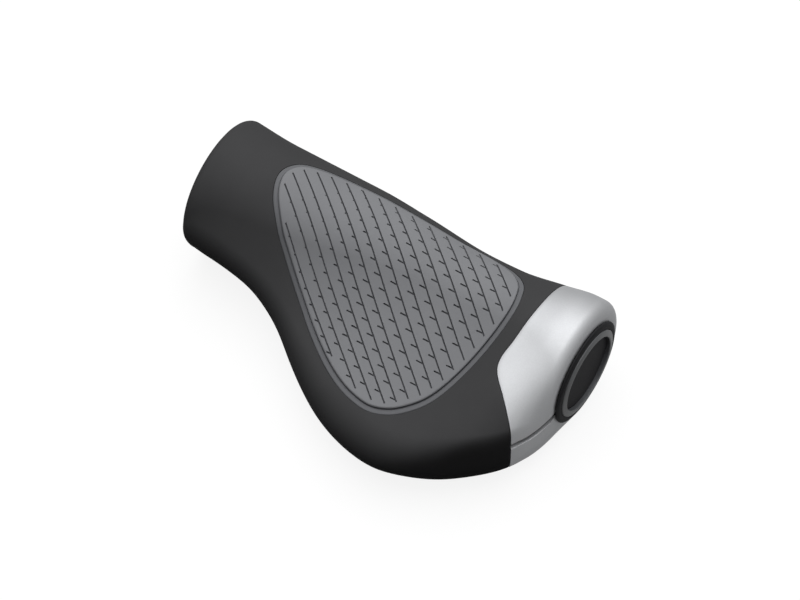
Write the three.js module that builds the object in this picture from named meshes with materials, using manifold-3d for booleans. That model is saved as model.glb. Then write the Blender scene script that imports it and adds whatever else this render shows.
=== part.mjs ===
// Handlebar grip for the right hand, with a palm wing, an inlaid pad and a one-piece clamp.
// Millimetres. +X runs along the bar from the inner end to the plugged end, -Y points at the
// rider, along the wing, and +Z is up. The origin is on the bar's axis at the inner end face.

import * as THREE from 'three';
import { mergeVertices } from 'three/addons/utils/BufferGeometryUtils.js';
import Module from 'manifold-3d';

const wasm = await Module();
wasm.setup();

// Running gap between neighbouring pieces
const gap = 0.3;

// Along the bar
const gripLength = 101;
const barDiameter = 22.2;
const barClearance = 0.15;

// Barrel: the round body as seen from the front of the bar
const rimRadius = 16.8;
const rimFillet = 2.5;
const thumbRadius = 15.9;
const waistRadius = 13.9;
const shoulderRadius = 17;
const barrelSwell = 0.3;
const endFillet = 3;

// Wing: how far it reaches behind the bar's axis, and its rounded rear edge
const wingReach = 44.3;
const wingEdgeHalfHeight = 7.6;
const innerEdgeGrowth = 3;
const wingEdgeDrop = 5.5;
const clampEdgeHalfHeight = 9.6;
const clampEdgeDrop = 4.4;
const clampSquareness = 3.3;
const wingTopHollow = THREE.MathUtils.degToRad(7);
const wingUnderHollow = THREE.MathUtils.degToRad(9);

// Pad: a flush band round a raised, grooved field
const padInner = 17.4;
const padToSeam = 4.5;
const padFront = 9.6;
const padRear = 37;
const padDepth = 0.6;
const padBand = 1.3;
const padRise = 0.65;
const wellBelow = 2;
const grooveWidth = 0.5;
const grooveDepth = 0.45;
const groovePitch = 2.84;
const grooveLead = 1.28;
const grooveAngle = THREE.MathUtils.degToRad(-40);
const grooveEndMargin = 2.2;

// Sleeve inside the rubber, slit at the end that the clamp closes
const sleeveWall = 1;
const rimLip = 1.5;
const sleeveSlitWidth = 2;
const sleeveSlitLength = 11;

// Clamp: its length on the bar, the tongue behind the bar and the pinch slot
const clampLength = 12.7;
const clampBulge = 1.6;
const clampBulgeReach = 13.5;
const tongueFromEnd = 4;
const tongueReach = 25.5;
const slotHeight = 2;
const slotDrop = 1.8;

// Pinch bolt, M4 socket head, driven from below
const boltDiameter = 4;
const boltHeadDiameter = 7;
const boltHeadHeight = 4;
const boltLength = 12;
const boltSocketAcrossFlats = 3;
const boltSocketDepth = 2.2;
const boltFromEnd = 6.6;
const boltReach = 17;
const boltSeatDrop = 6.8;

// End plug and its trim ring
const flangeRadius = 13.3;
const flangeHeight = 0.7;
const flangeCrown = 0.05;
const seatFlare = 0.1;
const ringOuterRadius = 11.25;
const ringInnerRadius = 9.6;
const ringRise = 0.55;
const ringSeatDepth = 0.7;
const dishDepth = 1.1;
const plugFloor = 1.5;
const spigotLength = 4;
const stemLength = 16;
const stemRadius = 8.1;
const stemWall = 1.6;
const stemRibRise = 0.6;
const stemRibs = 3;

// Facets
const sectionPoints = 48;
const roundSegments = 40;
const arcSegments = 24;
const bendSegments = 16;
const endSegments = 4;
const barrelSegments = 22;
const clampSegments = 7;
const seamSegments = 30;
const padSegments = 56;
const grooveEndSegments = 3;

const boreRadius = barDiameter / 2 + barClearance;
const sleeveRadius = boreRadius + sleeveWall;
const socketRadius = sleeveRadius + gap;
const padOuter = gripLength - clampLength - padToSeam;

function smoothCurve(points) {
  // A smooth line through hand-placed [position, value] pairs, without overshoot
  const n = points.length;
  const step = points.slice(1).map((p, i) => (p[1] - points[i][1]) / (p[0] - points[i][0]));
  const slope = points.map((p, i) => {
    if (i === 0) return step[0];
    if (i === n - 1) return step[n - 2];
    return step[i - 1] * step[i] <= 0 ? 0 : (2 * step[i - 1] * step[i]) / (step[i - 1] + step[i]);
  });
  return (at) => {
    const x = THREE.MathUtils.clamp(at, points[0][0], points[n - 1][0]);
    let i = 0;
    while (i < n - 2 && x > points[i + 1][0]) i += 1;
    const width = points[i + 1][0] - points[i][0];
    const t = (x - points[i][0]) / width;
    const t2 = t * t;
    const t3 = t2 * t;
    return (2 * t3 - 3 * t2 + 1) * points[i][1] + (t3 - 2 * t2 + t) * width * slope[i]
      + (3 * t2 - 2 * t3) * points[i + 1][1] + (t3 - t2) * width * slope[i + 1];
  };
}

// Lines along the grip. The first value of each pair is a share of the grip's length.
const barrelLine = smoothCurve([
  [0, rimRadius], [0.14, thumbRadius], [0.37, thumbRadius],
  [0.5, (thumbRadius + waistRadius) / 2 + barrelSwell],
  [0.68, waistRadius], [0.76, waistRadius + barrelSwell],
  [0.87, (waistRadius + shoulderRadius) / 2 + barrelSwell], [0.95, shoulderRadius], [1, shoulderRadius],
]);
const reachLine = smoothCurve([
  [0, 0], [0.05, 0.03], [0.12, 0.08], [0.2, 0.13], [0.3, 0.28], [0.42, 0.6], [0.55, 0.9],
  [0.65, 0.995], [0.69, 1], [0.76, 0.93], [0.83, 0.8], [0.9, 0.61], [0.94, 0.45],
  [0.975, 0.25], [0.99, 0.12], [1, 0],
]);
const edgeHalfHeightLine = smoothCurve([
  [0, wingEdgeHalfHeight + innerEdgeGrowth], [0.25, wingEdgeHalfHeight], [0.75, wingEdgeHalfHeight],
  [0.9, clampEdgeHalfHeight], [1, clampEdgeHalfHeight],
]);
const edgeDropLine = smoothCurve([
  [0.03, 0], [0.2, 0.2 * wingEdgeDrop], [0.4, 0.85 * wingEdgeDrop], [0.55, wingEdgeDrop],
  [0.7, wingEdgeDrop], [0.9, clampEdgeDrop], [1, clampEdgeDrop],
]);
const edgeSquarenessLine = smoothCurve([[0, 2], [0.72, 2], [0.89, clampSquareness], [0.95, 3], [1, 2]]);

function endInset(x) {
  // How far the rounded ends draw the skin in
  const intoRim = Math.max(0, rimFillet - x);
  const intoEnd = Math.max(0, x - (gripLength - endFillet));
  return rimFillet - Math.sqrt(Math.max(0, rimFillet ** 2 - intoRim ** 2))
    + endFillet - Math.sqrt(Math.max(0, endFillet ** 2 - intoEnd ** 2));
}

function edgePoint(edge, turn) {
  // Point of the squared-off rear edge whose outward normal is turned this far back from +Z
  const power = edge.squareness / (edge.squareness - 1);
  const side = (edge.halfHeight * Math.abs(Math.sin(turn))) ** power;
  const up = (edge.halfHeight * Math.abs(Math.cos(turn))) ** power;
  const size = (side + up) ** (1 / edge.squareness);
  const back = (edge.halfHeight ** power * Math.abs(Math.sin(turn)) ** (power - 1)) / size;
  const rise = (edge.halfHeight ** power * Math.abs(Math.cos(turn)) ** (power - 1)) / size;
  return new THREE.Vector2(edge.y - back, edge.z + Math.sign(Math.cos(turn)) * rise);
}

function halfSection(barrel, edge, hollow, side) {
  // From the front of the barrel over its top (side 1) or under it (side -1) to the rear edge
  const distance = Math.hypot(edge.y, edge.z);
  const lean = distance < 1e-6 ? 0 : Math.atan2(-edge.z * side, -edge.y);
  const taper = distance < 1e-6 ? 0 : Math.asin(Math.min(1, (barrel - edge.halfHeight) / distance));
  const slope = lean + taper;
  const fade = THREE.MathUtils.smoothstep(distance, barrel - edge.halfHeight, wingReach * 0.6);
  const leave = slope + hollow * fade;
  const arrive = Math.max(slope - hollow * fade, 0.01);
  const points = [];
  for (let i = 0; i <= arcSegments; i += 1) {
    const turn = ((Math.PI / 2 + leave) * i) / arcSegments;
    points.push(new THREE.Vector2(barrel * Math.cos(turn), side * barrel * Math.sin(turn)));
  }
  const start = points[arcSegments];
  const end = edgePoint({ ...edge, z: edge.z * side }, arrive);
  end.y *= side;
  const handle = start.distanceTo(end) * 0.36;
  const bend = new THREE.CubicBezierCurve(
    start,
    new THREE.Vector2(start.x - handle * Math.cos(leave), start.y - side * handle * Math.sin(leave)),
    new THREE.Vector2(end.x + handle * Math.cos(arrive), end.y + side * handle * Math.sin(arrive)),
    end,
  );
  if (handle > 0.01) points.push(...bend.getPoints(bendSegments).slice(1));
  for (let i = 1; i <= arcSegments; i += 1) {
    const turn = arrive + ((Math.PI / 2 - arrive) * i) / arcSegments;
    const point = edgePoint({ ...edge, z: edge.z * side }, turn);
    points.push(new THREE.Vector2(point.x, point.y * side));
  }
  return points;
}

function spread(points, count) {
  // Points spaced by length and by how much the line turns, so that tight bends get more
  const turnWeight = 5;
  const at = [0];
  for (let i = 1; i < points.length; i += 1) {
    const step = points[i].clone().sub(points[i - 1]);
    const last = i > 1 ? points[i - 1].clone().sub(points[i - 2]) : step;
    const turn = step.length() > 1e-6 && last.length() > 1e-6 ? Math.abs(step.angleTo(last)) : 0;
    at.push(at[i - 1] + step.length() + turnWeight * turn);
  }
  const result = [];
  let i = 1;
  for (let k = 0; k < count; k += 1) {
    const target = (at[at.length - 1] * k) / count;
    while (at[i] < target) i += 1;
    const t = (target - at[i - 1]) / (at[i] - at[i - 1]);
    result.push(points[i - 1].clone().lerp(points[i], t));
  }
  return result;
}

function section(x, grow) {
  // The skin's outline across the bar at x, moved outwards by grow
  const share = x / gripLength;
  const barrel = barrelLine(share);
  const reach = barrel + (wingReach - barrel) * reachLine(share);
  const halfHeight = edgeHalfHeightLine(share);
  const edge = {
    y: -(reach - halfHeight),
    z: -edgeDropLine(share),
    halfHeight,
    squareness: edgeSquarenessLine(share),
  };
  const offset = grow - endInset(x);
  const top = halfSection(barrel, edge, wingTopHollow, 1);
  const under = halfSection(barrel, edge, wingUnderHollow, -1);
  const loop = [...top, ...under.slice(0, -1).reverse().slice(0, -1)];
  const outline = loop.filter((point, i) => i === 0 || point.distanceTo(loop[i - 1]) > 0.01);
  const moved = outline.map((point, i) => {
    const before = outline[(i + outline.length - 1) % outline.length];
    const after = outline[(i + 1) % outline.length];
    const along = after.clone().sub(before).normalize();
    return new THREE.Vector2(point.x + along.y * offset, point.y - along.x * offset);
  });
  const rearmost = outline.reduce((best, point, i) => (point.x < outline[best].x ? i : best), 0);
  return [
    ...spread(moved.slice(0, rearmost + 1), sectionPoints / 2),
    ...spread([...moved.slice(rearmost), moved[0]], sectionPoints / 2),
  ];
}

function stations() {
  // Close together at the rounded ends and in the clamp, wider along the barrel
  const list = [];
  for (let i = 0; i <= endSegments; i += 1) {
    list.push(rimFillet * (1 - Math.cos((Math.PI / 2) * (i / endSegments))));
  }
  const clampStart = gripLength - clampLength;
  for (let i = 1; i <= barrelSegments; i += 1) {
    list.push(rimFillet + ((clampStart - rimFillet) * i) / barrelSegments);
  }
  for (let i = 1; i <= clampSegments; i += 1) {
    list.push(clampStart + ((clampLength - endFillet) * i) / clampSegments);
  }
  for (let i = 1; i <= endSegments; i += 1) {
    list.push(gripLength - endFillet * (1 - Math.sin((Math.PI / 2) * (i / endSegments))));
  }
  return list;
}

function skin(grow) {
  const places = stations();
  const positions = [];
  const faces = [];
  const rings = places.map((x) => section(x, grow));
  rings.forEach((ring, i) => ring.forEach((point) => positions.push(places[i], point.x, point.y)));
  for (let i = 0; i < places.length - 1; i += 1) {
    for (let k = 0; k < sectionPoints; k += 1) {
      const next = (k + 1) % sectionPoints;
      const a = i * sectionPoints + k;
      const b = i * sectionPoints + next;
      const c = (i + 1) * sectionPoints + next;
      const d = (i + 1) * sectionPoints + k;
      faces.push(a, b, c, a, c, d);
    }
  }
  const first = positions.length / 3;
  positions.push(places[0], 0, 0, places[places.length - 1], 0, 0);
  const lastRing = (places.length - 1) * sectionPoints;
  for (let k = 0; k < sectionPoints; k += 1) {
    const next = (k + 1) % sectionPoints;
    faces.push(first, next, k, first + 1, lastRing + k, lastRing + next);
  }
  const geometry = new THREE.BufferGeometry();
  geometry.setAttribute('position', new THREE.Float32BufferAttribute(positions, 3));
  geometry.setIndex(faces);
  return geometry;
}

function toSolid(geometry) {
  const bare = geometry.clone();
  bare.deleteAttribute('normal');
  bare.deleteAttribute('uv');
  const merged = mergeVertices(bare, 1e-4);
  return new wasm.Manifold(new wasm.Mesh({
    numProp: 3,
    vertProperties: new Float32Array(merged.attributes.position.array),
    triVerts: new Uint32Array(merged.index.array),
  }));
}

function toGeometry(solid) {
  const mesh = solid.getMesh();
  const geometry = new THREE.BufferGeometry();
  geometry.setAttribute('position', new THREE.BufferAttribute(new Float32Array(mesh.vertProperties), 3));
  geometry.setIndex(new THREE.BufferAttribute(new Uint32Array(mesh.triVerts), 1));
  geometry.computeVertexNormals();
  return geometry;
}

function turned(profile) {
  // A profile of [along, radius] pairs turned about the bar's axis
  const geometry = new THREE.LatheGeometry(profile.map(([x, r]) => new THREE.Vector2(r, x)), roundSegments);
  return geometry.rotateZ(-Math.PI / 2);
}

function barCylinder(radius, from, to) {
  return toSolid(turned([[from, 0], [from, radius], [to, radius], [to, 0]]));
}

function uprightCylinder(radius, bottom, top, segments = roundSegments) {
  const geometry = new THREE.CylinderGeometry(radius, radius, top - bottom, segments);
  return toSolid(geometry.rotateX(Math.PI / 2).translate(0, 0, (top + bottom) / 2));
}

function block(minX, maxX, minY, maxY, minZ, maxZ) {
  const geometry = new THREE.BoxGeometry(maxX - minX, maxY - minY, maxZ - minZ);
  return toSolid(geometry.translate((minX + maxX) / 2, (minY + maxY) / 2, (minZ + maxZ) / 2));
}

function prism(points, bottom) {
  // A plan outline raised from bottom to well above the grip
  const height = 2 * shoulderRadius - bottom;
  const geometry = new THREE.ExtrudeGeometry(new THREE.Shape(points), { depth: height, bevelEnabled: false });
  return toSolid(geometry.translate(0, 0, bottom));
}

function moveSideways(points, distance, closed) {
  // The same line moved to the right of its own direction
  return points.map((point, i) => {
    const last = points.length - 1;
    const before = i > 0 ? points[i - 1] : points[closed ? last : 0];
    const after = i < last ? points[i + 1] : points[closed ? 0 : last];
    const along = after.clone().sub(before).normalize();
    return new THREE.Vector2(point.x + along.y * distance, point.y - along.x * distance);
  });
}

// Clamp seam in plan, from the front of the bar to where the tongue leaves the wing's edge
function clampPlan(grow) {
  const seam = gripLength - clampLength;
  const far = wingReach + shoulderRadius;
  const line = new THREE.SplineCurve([
    new THREE.Vector2(seam, 0.4 * clampBulgeReach),
    new THREE.Vector2(seam - 0.1 * clampBulge, 0),
    new THREE.Vector2(seam - 0.6 * clampBulge, -0.65 * clampBulgeReach),
    new THREE.Vector2(seam - clampBulge, -clampBulgeReach),
    new THREE.Vector2(seam - 0.3 * clampBulge, -clampBulgeReach - 0.28 * (tongueReach - clampBulgeReach)),
    new THREE.Vector2(
      (seam + gripLength - tongueFromEnd) / 2 - 0.2 * clampBulge,
      -clampBulgeReach - 0.64 * (tongueReach - clampBulgeReach),
    ),
    new THREE.Vector2(gripLength - tongueFromEnd, -tongueReach),
    new THREE.Vector2(gripLength, -tongueReach - tongueFromEnd),
  ]).getPoints(seamSegments);
  const moved = moveSideways(line, grow, false);
  return [
    new THREE.Vector2(gripLength + far, far),
    new THREE.Vector2(moved[0].x, far),
    ...moved,
    new THREE.Vector2(gripLength + far, -far),
  ];
}

// Pad outline in plan. Each pair gives shares of the pad's length and of its depth from front to rear.
const padOutline = [
  [0, 0.185], [0.02, 0.3], [0.093, 0.431], [0.179, 0.534], [0.28, 0.652], [0.399, 0.792],
  [0.517, 0.908], [0.62, 0.976], [0.718, 1], [0.792, 0.968], [0.855, 0.895], [0.907, 0.796],
  [0.971, 0.549], [1, 0.283], [0.988, 0.172], [0.965, 0.1], [0.911, 0.039], [0.794, 0],
  [0.648, 0.002], [0.354, 0.006], [0.108, 0.041], [0.033, 0.09],
];

function padPlan(grow) {
  const corners = padOutline.map(([along, back]) => new THREE.Vector3(
    padInner + (padOuter - padInner) * along,
    padFront - (padFront + padRear) * back,
    0,
  ));
  const line = new THREE.CatmullRomCurve3(corners, true, 'centripetal').getPoints(padSegments).slice(0, -1);
  return moveSideways(line.map((point) => new THREE.Vector2(point.x, point.y)), grow, true);
}

function grooveEnds(offset) {
  // Where a groove's middle line, this far from the origin, meets the margin inside the pad
  const outline = padPlan(-grooveEndMargin);
  const along = new THREE.Vector2(Math.cos(grooveAngle), Math.sin(grooveAngle));
  const across = new THREE.Vector2(-along.y, along.x);
  const hits = [];
  outline.forEach((point, i) => {
    const next = outline[(i + 1) % outline.length];
    const from = point.dot(across) - offset;
    const to = next.dot(across) - offset;
    if (from * to < 0) hits.push(point.clone().lerp(next, from / (from - to)).dot(along));
  });
  return hits.length < 2 ? null : { along, across, from: Math.min(...hits), to: Math.max(...hits) };
}

function grooveStrips() {
  // Round-ended strips side by side over the whole pad
  const strips = [];
  const half = grooveWidth / 2;
  const count = Math.ceil((padOuter + padRear) / groovePitch);
  const firstOffset = -padInner * Math.sin(grooveAngle) - grooveLead;
  for (let i = 0; i < count; i += 1) {
    const offset = firstOffset + i * groovePitch;
    const ends = grooveEnds(offset);
    if (!ends || ends.to - ends.from < 2 * groovePitch) continue;
    const place = (u, v) => ends.along.clone().multiplyScalar(u).addScaledVector(ends.across, v);
    const points = [];
    for (let k = 0; k <= grooveEndSegments; k += 1) {
      const turn = -Math.PI / 2 + (Math.PI * k) / grooveEndSegments;
      points.push(place(ends.to - half + half * Math.cos(turn), offset + half * Math.sin(turn)));
    }
    for (let k = 0; k <= grooveEndSegments; k += 1) {
      const turn = Math.PI / 2 + (Math.PI * k) / grooveEndSegments;
      points.push(place(ends.from + half + half * Math.cos(turn), offset + half * Math.sin(turn)));
    }
    strips.push(prism(points, -wellBelow));
  }
  return strips.reduce((all, strip) => all.add(strip));
}

const group = new THREE.Group();

function addPiece(name, solid, finish) {
  const mesh = new THREE.Mesh(toGeometry(solid), new THREE.MeshStandardMaterial(finish));
  mesh.name = name;
  group.add(mesh);
}

const rubber = { color: 0x1f1f20, roughness: 0.75, metalness: 0 };
const padRubber = { color: 0x6b6d71, roughness: 0.7, metalness: 0 };
const nylon = { color: 0x17181a, roughness: 0.5, metalness: 0 };
const alloy = { color: 0xc9cacb, roughness: 0.38, metalness: 0.9 };
const steel = { color: 0x3a3b3d, roughness: 0.4, metalness: 1 };
const trim = { color: 0x74777b, roughness: 0.35, metalness: 0.2 };

const whole = toSolid(skin(0));
const boltX = gripLength - boltFromEnd;
const sleeveStart = rimLip + gap;
const sleeveEnd = gripLength - spigotLength - gap;
const slotTop = -slotDrop + slotHeight / 2;
const slotBottom = -slotDrop - slotHeight / 2;

function gripBody() {
  // Moulded rubber with the well for the pad, and a lip that covers the sleeve's inner end
  const well = prism(padPlan(gap), -wellBelow).subtract(toSolid(skin(-padDepth - gap)));
  return whole
    .subtract(prism(clampPlan(gap), -2 * shoulderRadius))
    .subtract(barCylinder(boreRadius, -1, rimLip + 1))
    .subtract(barCylinder(socketRadius, rimLip, gripLength + 1))
    .subtract(well);
}

function palmPad() {
  const grooves = grooveStrips().subtract(toSolid(skin(padRise - grooveDepth)));
  const band = whole.intersect(prism(padPlan(0), -wellBelow));
  const field = toSolid(skin(padRise)).intersect(prism(padPlan(-padBand), -wellBelow));
  return band.add(field).subtract(toSolid(skin(-padDepth))).subtract(grooves);
}

function coreSleeve() {
  const slitZ = (slotTop + slotBottom) / 2;
  return barCylinder(sleeveRadius, sleeveStart, sleeveEnd)
    .subtract(barCylinder(boreRadius, 0, gripLength))
    .subtract(block(
      sleeveEnd - sleeveSlitLength, sleeveEnd + 1, -2 * sleeveRadius, 0,
      slitZ - sleeveSlitWidth / 2, slitZ + sleeveSlitWidth / 2,
    ));
}

function clamp() {
  // One alloy piece, open at the slot and drawn together by the bolt behind the bar
  const boltHole = uprightCylinder(boltDiameter / 2 + gap, -boltSeatDrop - 1, boltLength - boltSeatDrop + gap)
    .add(uprightCylinder(boltHeadDiameter / 2 + gap, -2 * shoulderRadius, -boltSeatDrop))
    .translate([boltX, -boltReach, 0]);
  return whole
    .intersect(prism(clampPlan(0), -2 * shoulderRadius))
    .subtract(barCylinder(socketRadius, 0, gripLength + 1))
    .subtract(block(0, gripLength + 1, -2 * wingReach, 0, slotBottom, slotTop))
    .subtract(boltHole);
}

function pinchBolt() {
  const seat = -boltSeatDrop - gap;
  const socketRadiusHex = boltSocketAcrossFlats / 2 / Math.cos(Math.PI / 6);
  const head = seat - boltHeadHeight;
  return uprightCylinder(boltHeadDiameter / 2, head, seat)
    .add(uprightCylinder(boltDiameter / 2, seat - 1, seat + boltLength))
    .subtract(uprightCylinder(socketRadiusHex, head - 1, head + boltSocketDepth, 6))
    .translate([boltX, -boltReach, 0]);
}

const flangeBase = gripLength + gap;
const flangeTop = flangeBase + flangeHeight;
const ringTop = flangeTop + ringRise;
const dishFloor = ringTop - dishDepth;
const ringSeat = flangeTop - ringSeatDepth - gap;
const bevel = flangeHeight / 2;

function endPlug() {
  // Cap with a dished face, a spigot in the clamp and a ribbed stem for the inside of the bar
  const floorBack = ringSeat - plugFloor;
  const spigotEnd = gripLength - spigotLength;
  const stemEnd = spigotEnd - stemLength;
  const ribs = [];
  const ribPitch = stemLength / (stemRibs + 1);
  for (let i = 1; i <= stemRibs; i += 1) {
    const rib = spigotEnd - i * ribPitch;
    ribs.push([rib + ribPitch / 8, stemRadius], [rib, stemRadius + stemRibRise]);
    ribs.push([rib - ribPitch / 4, stemRadius]);
  }
  return toSolid(turned([
    [floorBack, 0], [floorBack, stemRadius - stemWall], [stemEnd, stemRadius - stemWall],
    [stemEnd, stemRadius], ...ribs.reverse(), [spigotEnd, stemRadius],
    [spigotEnd, sleeveRadius], [flangeBase, sleeveRadius], [flangeBase, flangeRadius],
    [flangeBase + bevel, flangeRadius], [flangeTop - flangeCrown, flangeRadius - bevel],
    [flangeTop, ringOuterRadius + gap + seatFlare], [ringSeat, ringOuterRadius + gap],
    [ringSeat, ringInnerRadius - gap], [dishFloor, ringInnerRadius - gap], [dishFloor, 0],
  ]));
}

function plugRing() {
  const base = ringSeat + gap;
  const edge = 0.2;
  return toSolid(turned([
    [base, ringInnerRadius], [base, ringOuterRadius], [flangeTop, ringOuterRadius],
    [flangeTop + edge, ringOuterRadius - edge], [ringTop, ringInnerRadius + edge],
    [ringTop - edge, ringInnerRadius], [base, ringInnerRadius],
  ]));
}

addPiece('grip_body', gripBody(), rubber);
addPiece('palm_pad', palmPad(), padRubber);
addPiece('core_sleeve', coreSleeve(), nylon);
addPiece('clamp', clamp(), alloy);
addPiece('pinch_bolt', pinchBolt(), steel);
addPiece('end_plug', endPlug(), nylon);
addPiece('plug_ring', plugRing(), trim);

export default group;
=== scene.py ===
# Right-hand bicycle handlebar grip: rubber body with a palm wing, grooved pad, alloy clamp, end plug.
# Shapes are worked out in millimetres and turned to metres when a mesh is made.
# +X runs along the bar to the plugged end, -Y to the rider along the wing, +Z is up.

import math

import bmesh
import bpy
import numpy as np
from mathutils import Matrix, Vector


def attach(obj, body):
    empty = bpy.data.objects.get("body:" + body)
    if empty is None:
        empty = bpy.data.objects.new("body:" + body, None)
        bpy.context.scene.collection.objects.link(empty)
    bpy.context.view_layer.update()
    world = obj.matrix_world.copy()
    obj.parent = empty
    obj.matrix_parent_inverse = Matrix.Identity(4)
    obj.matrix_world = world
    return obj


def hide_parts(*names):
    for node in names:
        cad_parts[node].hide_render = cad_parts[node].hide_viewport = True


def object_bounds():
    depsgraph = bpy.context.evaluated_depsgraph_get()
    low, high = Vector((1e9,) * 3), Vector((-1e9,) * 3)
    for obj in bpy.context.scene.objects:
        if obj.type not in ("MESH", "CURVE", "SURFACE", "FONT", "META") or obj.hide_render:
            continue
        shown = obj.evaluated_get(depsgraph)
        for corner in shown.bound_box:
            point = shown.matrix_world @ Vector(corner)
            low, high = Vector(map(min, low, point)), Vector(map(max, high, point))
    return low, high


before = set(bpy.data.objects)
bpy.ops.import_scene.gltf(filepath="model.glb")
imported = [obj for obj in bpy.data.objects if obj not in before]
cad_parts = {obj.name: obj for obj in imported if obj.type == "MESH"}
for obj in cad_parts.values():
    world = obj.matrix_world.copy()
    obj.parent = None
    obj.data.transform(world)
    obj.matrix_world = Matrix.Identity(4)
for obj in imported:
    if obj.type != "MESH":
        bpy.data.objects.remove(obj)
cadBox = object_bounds()
mm = 0.001

# The camera looks at a point of the grip, moved right and up to the middle of the picture
cameraView = {"azimuth": 32.2, "elevation": 56.2, "distance": 1300, "lens": 250.97, "aim": (50, -10, 0),
              "aimRight": 6.04, "aimUp": 0.93, "clipEnd": 20}


def addCamera():
    turn, lift = math.radians(cameraView["azimuth"]), math.radians(cameraView["elevation"])
    away = Vector((math.sin(turn) * math.cos(lift), -math.cos(turn) * math.cos(lift), math.sin(lift)))
    right = Vector((math.cos(turn), math.sin(turn), 0))
    up = away.cross(right)
    aim = Vector(cameraView["aim"]) + right * cameraView["aimRight"] + up * cameraView["aimUp"]
    data = bpy.data.cameras.new("camera")
    data.lens = cameraView["lens"]
    data.clip_end = cameraView["clipEnd"]
    camera = bpy.data.objects.new("camera", data)
    camera.location = (aim + away * cameraView["distance"]) * mm
    camera.rotation_euler = away.to_track_quat("Z", "Y").to_euler()
    bpy.context.collection.objects.link(camera)
    bpy.context.scene.camera = camera


addCamera()
print("camera placed")


# Materials

def linear(hexColour):
    # A written sRGB colour as the linear RGBA that nodes take
    parts = [int(hexColour[i:i + 2], 16) / 255 for i in (1, 3, 5)]
    return tuple(c / 12.92 if c <= 0.04045 else ((c + 0.055) / 1.055) ** 2.4 for c in parts) + (1.0,)


def addNode(tree, kind, inputs=None, **settings):
    node = tree.nodes.new(kind)
    for key, value in settings.items():
        setattr(node, key, value)
    for key, value in (inputs or {}).items():
        if isinstance(value, bpy.types.NodeSocket):
            tree.links.new(value, node.inputs[key])
        else:
            node.inputs[key].default_value = value
    return node


def startMaterial(name):
    material = bpy.data.materials.new(name)
    material.use_nodes = True
    tree = material.node_tree
    tree.nodes.clear()
    place = addNode(tree, "ShaderNodeTexCoord").outputs["Object"]
    return material, tree, place


def ramp(tree, value, low, high, bottom, top):
    # A number carried from the range low..high to bottom..top
    return addNode(tree, "ShaderNodeMapRange", {"Value": value, "From Min": low, "From Max": high,
                                                "To Min": bottom, "To Max": top}).outputs["Result"]


def blendColours(tree, factor, first, second):
    return addNode(tree, "ShaderNodeMix", {0: factor, 6: first, 7: second}, data_type="RGBA").outputs[2]


def noise(tree, place, size, detail=2.0, roughness=0.5):
    # Noise with grains of this size in millimetres
    return addNode(tree, "ShaderNodeTexNoise", {"Vector": place, "Scale": 1 / (size * mm), "Detail": detail,
                                                "Roughness": roughness}).outputs["Fac"]


# In every look, grain and cloud are the size, detail and roughness of a noise, and relief is the
# grain's height in millimetres and its strength. A noise lies mostly in this span.
grainSpan = (0.3, 0.7)


def clouded(tree, place, look):
    cloud = noise(tree, place, *look["cloud"])
    return blendColours(tree, cloud, linear(look["dark"]), linear(look["light"]))


def closeMaterial(tree, place, look, colour):
    # The shader, with the grain in its roughness and in its relief
    grain = noise(tree, place, *look["grain"])
    inputs = {"Base Color": colour, "Roughness": ramp(tree, grain, *grainSpan, *look["roughness"])}
    if "relief" in look:
        height, strength = look["relief"]
        inputs["Normal"] = addNode(tree, "ShaderNodeBump", {
            "Height": grain, "Strength": strength, "Distance": height * mm}).outputs["Normal"]
    shader = addNode(tree, "ShaderNodeBsdfPrincipled", inputs | look["shine"])
    addNode(tree, "ShaderNodeOutputMaterial", {"Surface": shader.outputs["BSDF"]})


def plainMaterial(look):
    material, tree, place = startMaterial(look["name"])
    closeMaterial(tree, place, look, clouded(tree, place, look))
    return material


# Black rubber from a spark-textured mould: matt, with a fine even grain and faint clouding
rubberLook = {"name": "moulded black rubber", "dark": "#434344", "light": "#4B4B4C",
              "grain": (0.32, 2.0, 0.6), "cloud": (14, 3.0), "relief": (0.02, 0.35),
              "roughness": (0.66, 0.8), "shine": {"Specular IOR Level": 0.02}}
# Forged aluminium, bead blasted and clear anodised: satin, with a soft even sparkle.
# The real grit is about 0.1 mm, drawn three times as coarse so that it shows.
alloyLook = {"name": "bead-blasted anodised aluminium", "dark": "#A2A3A5", "light": "#AAABAD",
             "grain": (0.3, 3.0, 0.7), "cloud": (9,), "relief": (0.006, 0.3),
             "roughness": (0.54, 0.64), "shine": {"Metallic": 1.0}}
# Moulded plastics, with a fine mould grain and a little clouding in the colour
nylonLook = {"name": "moulded black nylon", "dark": "#2C2C2E", "light": "#333335", "grain": (0.3,),
             "cloud": (6,), "relief": (0.01, 0.25), "roughness": (0.5, 0.62),
             "shine": {"Specular IOR Level": 0.06}}
trimLook = {"name": "satin grey plastic", "dark": "#5A5C5F", "light": "#626467", "grain": (0.4,),
            "cloud": (6,), "relief": (0.004, 0.25), "roughness": (0.3, 0.38),
            "shine": {"Specular IOR Level": 0.7}}
# Steel screw, black zinc plated: dark metal, a little oily in its shine
steelLook = {"name": "black zinc plated steel", "dark": "#3A3A3C", "light": "#4A4A4D",
             "grain": (0.4, 3.0), "cloud": (0.4, 3.0), "roughness": (0.3, 0.42), "shine": {"Metallic": 1.0}}
# The pad's groove colour is painted shade, laid in its grooves and at the foot of its raised field
padLook = {"name": "moulded grey rubber", "dark": "#808184", "light": "#898A8D", "band": "#6C6D70",
           "grooveShade": "#4C4D50", "bandEnds": (0.04, 0.12), "grooveShadeEnds": (0.26, 0.36),
           "grain": (0.28, 2.0, 0.6), "cloud": (22,), "relief": (0.015, 0.3),
           "roughness": (0.52, 0.66), "shine": {"Specular IOR Level": 0.1}}


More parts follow.
